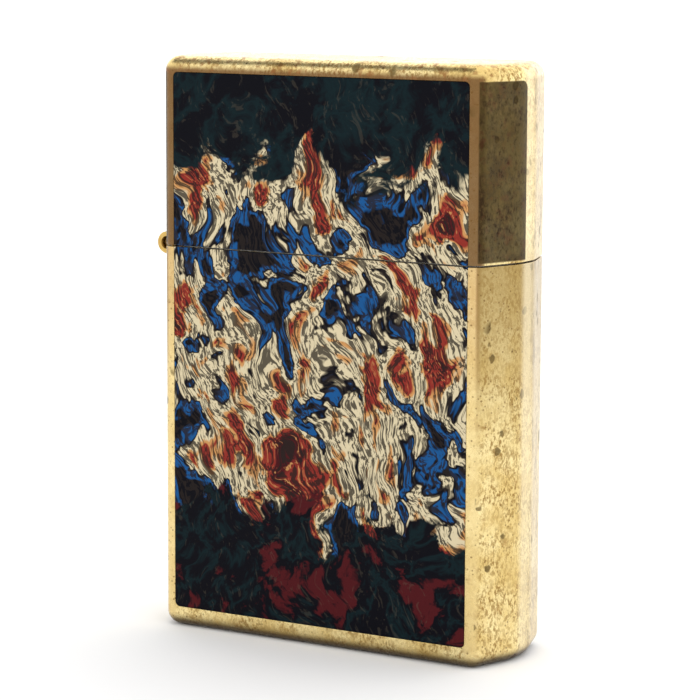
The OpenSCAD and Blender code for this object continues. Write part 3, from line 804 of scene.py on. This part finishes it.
def coil(steel):
    """Flint spring: a round wire along a helix."""
    low, high = span("flint_spring")
    wire, sides, steps = 0.18, 10, 28
    centre, radius = (low + high) / 2, (high.x - low.x) / 2 - wire
    rise, pitch = high.z - low.z - 2 * wire, 1.5
    rings = int(rise / pitch) * steps
    vertices, faces = [], []
    for i in range(rings + 1):
        a = 2 * math.pi * i / steps
        for k in range(sides):
            b = 2 * math.pi * k / sides
            p = polar(radius + wire * math.cos(b), a)
            vertices.append((centre.x + p.x, p.y, low.z + wire + rise * i / rings + wire * math.sin(b)))
    for i in range(rings):
        for k in range(sides):
            m = (k + 1) % sides
            faces.append([(i + 1) * sides + k, (i + 1) * sides + m, i * sides + m, i * sides + k])
    faces += [list(range(sides)), [rings * sides + k for k in range(sides)][::-1]]
    made = mesh_object("flint_coil", vertices, faces)
    finished(made, steel, "case", ["flint_spring"], bevel=0, smooth=50)
    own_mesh(made)


def add_fibre(vertices, faces, foot, lean, tall, thick):
    """One short bent fibre, thinner towards its end, added to a list of vertices and one of faces."""
    rings, sides = 4, 5
    first = len(vertices)
    for j in range(rings):
        t = j / (rings - 1)
        at = foot + lean * t * t + Vector((0, 0, tall * t))
        for k in range(sides):
            q = polar(thick * (1 - 0.6 * t), 2 * math.pi * k / sides)
            vertices.append(at + Vector((q.x, q.y, 0)))
    for j in range(rings - 1):
        low, high = first + j * sides, first + (j + 1) * sides
        for k in range(sides):
            m = (k + 1) % sides
            faces.append([low + k, low + m, high + m, high + k])
    last = first + (rings - 1) * sides
    faces.append([first + k for k in range(sides - 1, -1, -1)])
    faces.append([last + k for k in range(sides)])


def wick(material):
    """Braided cotton cord whose tip is frayed into short fibres."""
    low, high = span("wick")
    centre, radius = (low + high) / 2, (high.x - low.x) / 2
    around, strands, pitch, step = 48, 6, 4.2, 0.16
    fray, narrowing, fibres_in_tip = 1.5, 5, 150
    groove, bulge, tip_share = 0.86, 0.13, 0.72
    count = int((high.z - fray - low.z) / step)
    rings = []
    for i in range(count + 1):
        z = low.z + i * step
        tip = 1 - 0.25 * max(0.0, (i - count + narrowing) / narrowing) ** 2
        ring = []
        for k in range(around):
            a = 2 * math.pi * k / around
            bumps = [abs(math.sin(strands / 2 * (a + way * 2 * math.pi * z / pitch))) for way in (-1, 1)]
            p = polar(radius * tip * (groove + bulge * max(bumps)), a)
            ring.append((centre.x + p.x, p.y, z))
        rings.append(ring)
    braid = loft("wick_braid", rings)
    vertices = [v.co.copy() for v in braid.data.vertices]
    faces = [list(f.vertices) for f in braid.data.polygons]
    bpy.data.objects.remove(braid)
    dice = random.Random(11)
    for _ in range(fibres_in_tip):
        a, spread = dice.uniform(0, 2 * math.pi), math.sqrt(dice.random()) * radius * tip_share
        foot = Vector((centre.x + spread * math.cos(a), spread * math.sin(a), high.z - fray - 0.5))
        lean = Vector((dice.uniform(-0.22, 0.22), dice.uniform(-0.22, 0.22), 0))
        tall = dice.uniform(1.2, 1.95)
        thick = dice.uniform(0.05, 0.09)
        add_fibre(vertices, faces, foot, lean, tall, thick)
    made = mesh_object("wick_braid", vertices, faces)
    finished(made, material, "case", ["wick"], bevel=0, smooth=60)


def packing(cotton, felt):
    """Cotton pads in the can, and the felt that closes it, with channels for the wick and the tube."""
    can_low, can_high = span("insert_can")
    shift, inset = (can_low.x + can_high.x) / 2, CASE_W / 2 - can_high.x

    def channel(node, room):
        low, high = span(node)
        radius = (high.x - low.x) / 2 + room
        return turned("channel", [(radius, 0), (radius, 60)], ((low.x + high.x) / 2, 0, -1))

    def soft(name, z0, z1, room, channels, voxel, fuzz):
        made = prism(name, shifted(section(inset + room, 8, shift), shift), z0, z1)
        cut(made, *channels)
        step = made.modifiers.new("even", "REMESH")
        step.mode, step.voxel_size = "VOXEL", voxel
        step = made.modifiers.new("round", "SMOOTH")
        step.factor, step.iterations = 0.6, 10
        apply_modifiers(made)
        for v in made.data.vertices:
            x, y, z = v.co
            ripple = math.sin(x * 2.1 + 1.7 * math.sin(z * 1.3)) * math.sin(y * 2.7 + z)
            v.co -= v.normal * fuzz * (0.5 + 0.5 * ripple)
        return made

    low, high = span("cotton_pads")
    count, gap = 5, 0.3
    tall = (high.z - low.z + gap) / count - gap
    for i in range(count):
        z0 = low.z + i * (tall + gap)
        channels = [channel("wick", room=0.12), channel("flint_tube", room=0.3)]
        pad = soft(f"cotton_pad_{i + 1}", z0, z0 + tall, 0.8, channels, voxel=0.45, fuzz=0.22)
        finished(pad, cotton, "case", ["cotton_pads"], bevel=0, smooth=80)
    low, high = span("felt_pad")
    channels = [channel("flint_screw", room=0.1)]
    pad = soft("felt_cover", low.z, high.z, 0.6, channels, voxel=0.35, fuzz=0.06)
    finished(pad, felt, "case", ["felt_pad"], bevel=0, smooth=80)


def prints(material):
    body = plate("body_print", *span("body_plate"), grow=0.0, round_foot=True)
    finished(body, material, "case", ["body_plate"], bevel=0.03)
    lid = plate("lid_print", *span("lid_plate"), grow=0.0, round_foot=False)
    finished(lid, material, "lid", ["lid_plate"], bevel=0.03)


def kept_nodes(metals):
    """CAD meshes that stay in view, each with one of the metals."""
    slots = {"insert_deck": "insert_steel", "cam_spring": "spring_steel", "flint_tube": "tube_brass",
             "flint": "flint", "spring_tip": "tube_brass", "flint_screw": "tube_brass"}
    for node, slot in slots.items():
        kept = frame["nodes"][node]
        for holder in kept.material_slots:
            holder.material = metals[slot]


metals = {
    "insert_steel": plain_metal("insert_steel", srgb(206, 204, 198), srgb(160, 158, 152), 0.26,
                                streaks=(4, 4, 1)),
    "pin_steel": plain_metal("pin_steel", srgb(226, 220, 204), srgb(176, 168, 150), 0.22),
    "wheel_steel": plain_metal("wheel_steel", srgb(118, 112, 104), srgb(70, 64, 58), 0.42),
    "cam_steel": plain_metal("cam_steel", srgb(150, 146, 140), srgb(98, 94, 90), 0.34),
    "spring_steel": plain_metal("spring_steel", srgb(180, 180, 184), srgb(128, 128, 132), 0.28),
    "hinge_brass": plain_metal("hinge_brass", srgb(238, 214, 142), srgb(192, 154, 82), 0.26),
    "tube_brass": plain_metal("tube_brass", srgb(222, 188, 110), srgb(170, 132, 66), 0.34),
    "flint": plain_metal("flint_alloy", srgb(116, 110, 104), srgb(70, 66, 62), 0.5, depth=0.02),
}
cotton = fibres("cotton_wool", srgb(236, 232, 220), srgb(206, 200, 184), 0.5)
felt = fibres("felt_wool", srgb(196, 188, 172), srgb(150, 142, 126), 0.35)

body_case(aged_brass("brass_body", lid=False))
lid_case(aged_brass("brass_lid", lid=True))
prints(marbled_print())
hinge(metals["hinge_brass"], metals["pin_steel"])
insert(metals["insert_steel"])
chimney(metals["insert_steel"])
spark_wheel(metals["wheel_steel"])
rivet("wheel_axle", "wheel_rivet", "Y", metals["pin_steel"], shank=0.9, head=1.6)
rivet("cam_pin", "cam_rivet", "Y", metals["pin_steel"], shank=0.7, head=1.2)
rivet("spring_fixing", "spring_rivet", "Z", metals["pin_steel"], shank=0.6, head=1.1)
cam(metals["cam_steel"])
coil(metals["spring_steel"])
wick(wick_cotton(span("wick")[1].z))
packing(cotton, felt)
kept_nodes(metals)


# ---------------------------------------------------------------- camera, floor and light


def add_camera():
    """Camera at the photograph's angle, with its distance and lens in millimetres."""
    yaw, pitch, roll = (math.radians(a) for a in (30.98, 8.22, 0.25))
    distance = 282.7
    target = Vector((-0.13, 0.0, CASE_TOP / 2 - 0.04))
    back = Vector((math.sin(yaw) * math.cos(pitch), -math.cos(yaw) * math.cos(pitch), math.sin(pitch)))
    right = Vector((math.cos(yaw), math.sin(yaw), 0.0))
    up = back.cross(right)
    rolled = math.cos(roll) * right + math.sin(roll) * up
    data = bpy.data.cameras.new("camera")
    data.sensor_width = 36.0
    data.lens = 148.3
    data.clip_start, data.clip_end = 0.01, 100.0
    camera = bpy.data.objects.new("camera", data)
    turn = Matrix((rolled, back.cross(rolled), back)).transposed().to_4x4()
    camera.matrix_world = Matrix.Translation((target + back * distance) * MM) @ turn
    scene.collection.objects.link(camera)
    scene.camera = camera


def add_floor():
    """Pale floor, which is brighter behind the lighter, where its top and sides mirror it."""
    s = Shader("floor", Roughness=0.9, Specular_IOR_Level=0.1)
    tone = s.mix(s.ramp(s.axis("Y"), -40.0, 160.0), srgb(239, 239, 239), srgb(248, 248, 248))
    tone = s.mix(s.times(s.noise(400.0, detail=2), 0.1), tone, srgb(240, 240, 240))
    made = mesh_object("floor", [(-12, -12, 0), (12, -12, 0), (12, 12, 0), (-12, 12, 0)], [[0, 1, 2, 3]])
    made.data.materials.append(s.set(Base_Color=tone))


def add_light():
    """Soft white light from all round, stronger low behind, with one dark card overhead on the left."""
    world = bpy.data.worlds.new("studio")
    world.use_nodes = True
    scene.world = world
    tree = world.node_tree
    background = tree.nodes["Background"]
    place = tree.nodes.new("ShaderNodeTexCoord")

    def facing(direction, start, end, low, high):
        """Value from low to high as the view turns towards a direction, by the cosine between them."""
        dot = tree.nodes.new("ShaderNodeVectorMath")
        dot.operation = "DOT_PRODUCT"
        tree.links.new(place.outputs["Generated"], dot.inputs[0])
        dot.inputs[1].default_value = Vector(direction).normalized()
        reach = tree.nodes.new("ShaderNodeMapRange")
        reach.interpolation_type = "SMOOTHSTEP"
        tree.links.new(dot.outputs["Value"], reach.inputs["Value"])
        for key, value in (("From Min", start), ("From Max", end), ("To Min", low), ("To Max", high)):
            reach.inputs[key].default_value = value
        return reach.outputs["Result"]

    low_behind, overhead_left = (-0.25, 1.0, 0.25), (-0.51, -0.143, 0.849)
    strength = tree.nodes.new("ShaderNodeMath")
    strength.operation = "MULTIPLY"
    tree.links.new(facing(low_behind, start=0.45, end=0.85, low=1.4, high=1.85), strength.inputs[0])
    tree.links.new(facing(overhead_left, start=0.94, end=0.975, low=1.0, high=0.04), strength.inputs[1])
    tree.links.new(strength.outputs[0], background.inputs["Strength"])
    background.inputs["Color"].default_value = (1, 1, 1, 1)
    scene.view_settings.view_transform = "Standard"


add_camera()
add_floor()
add_light()
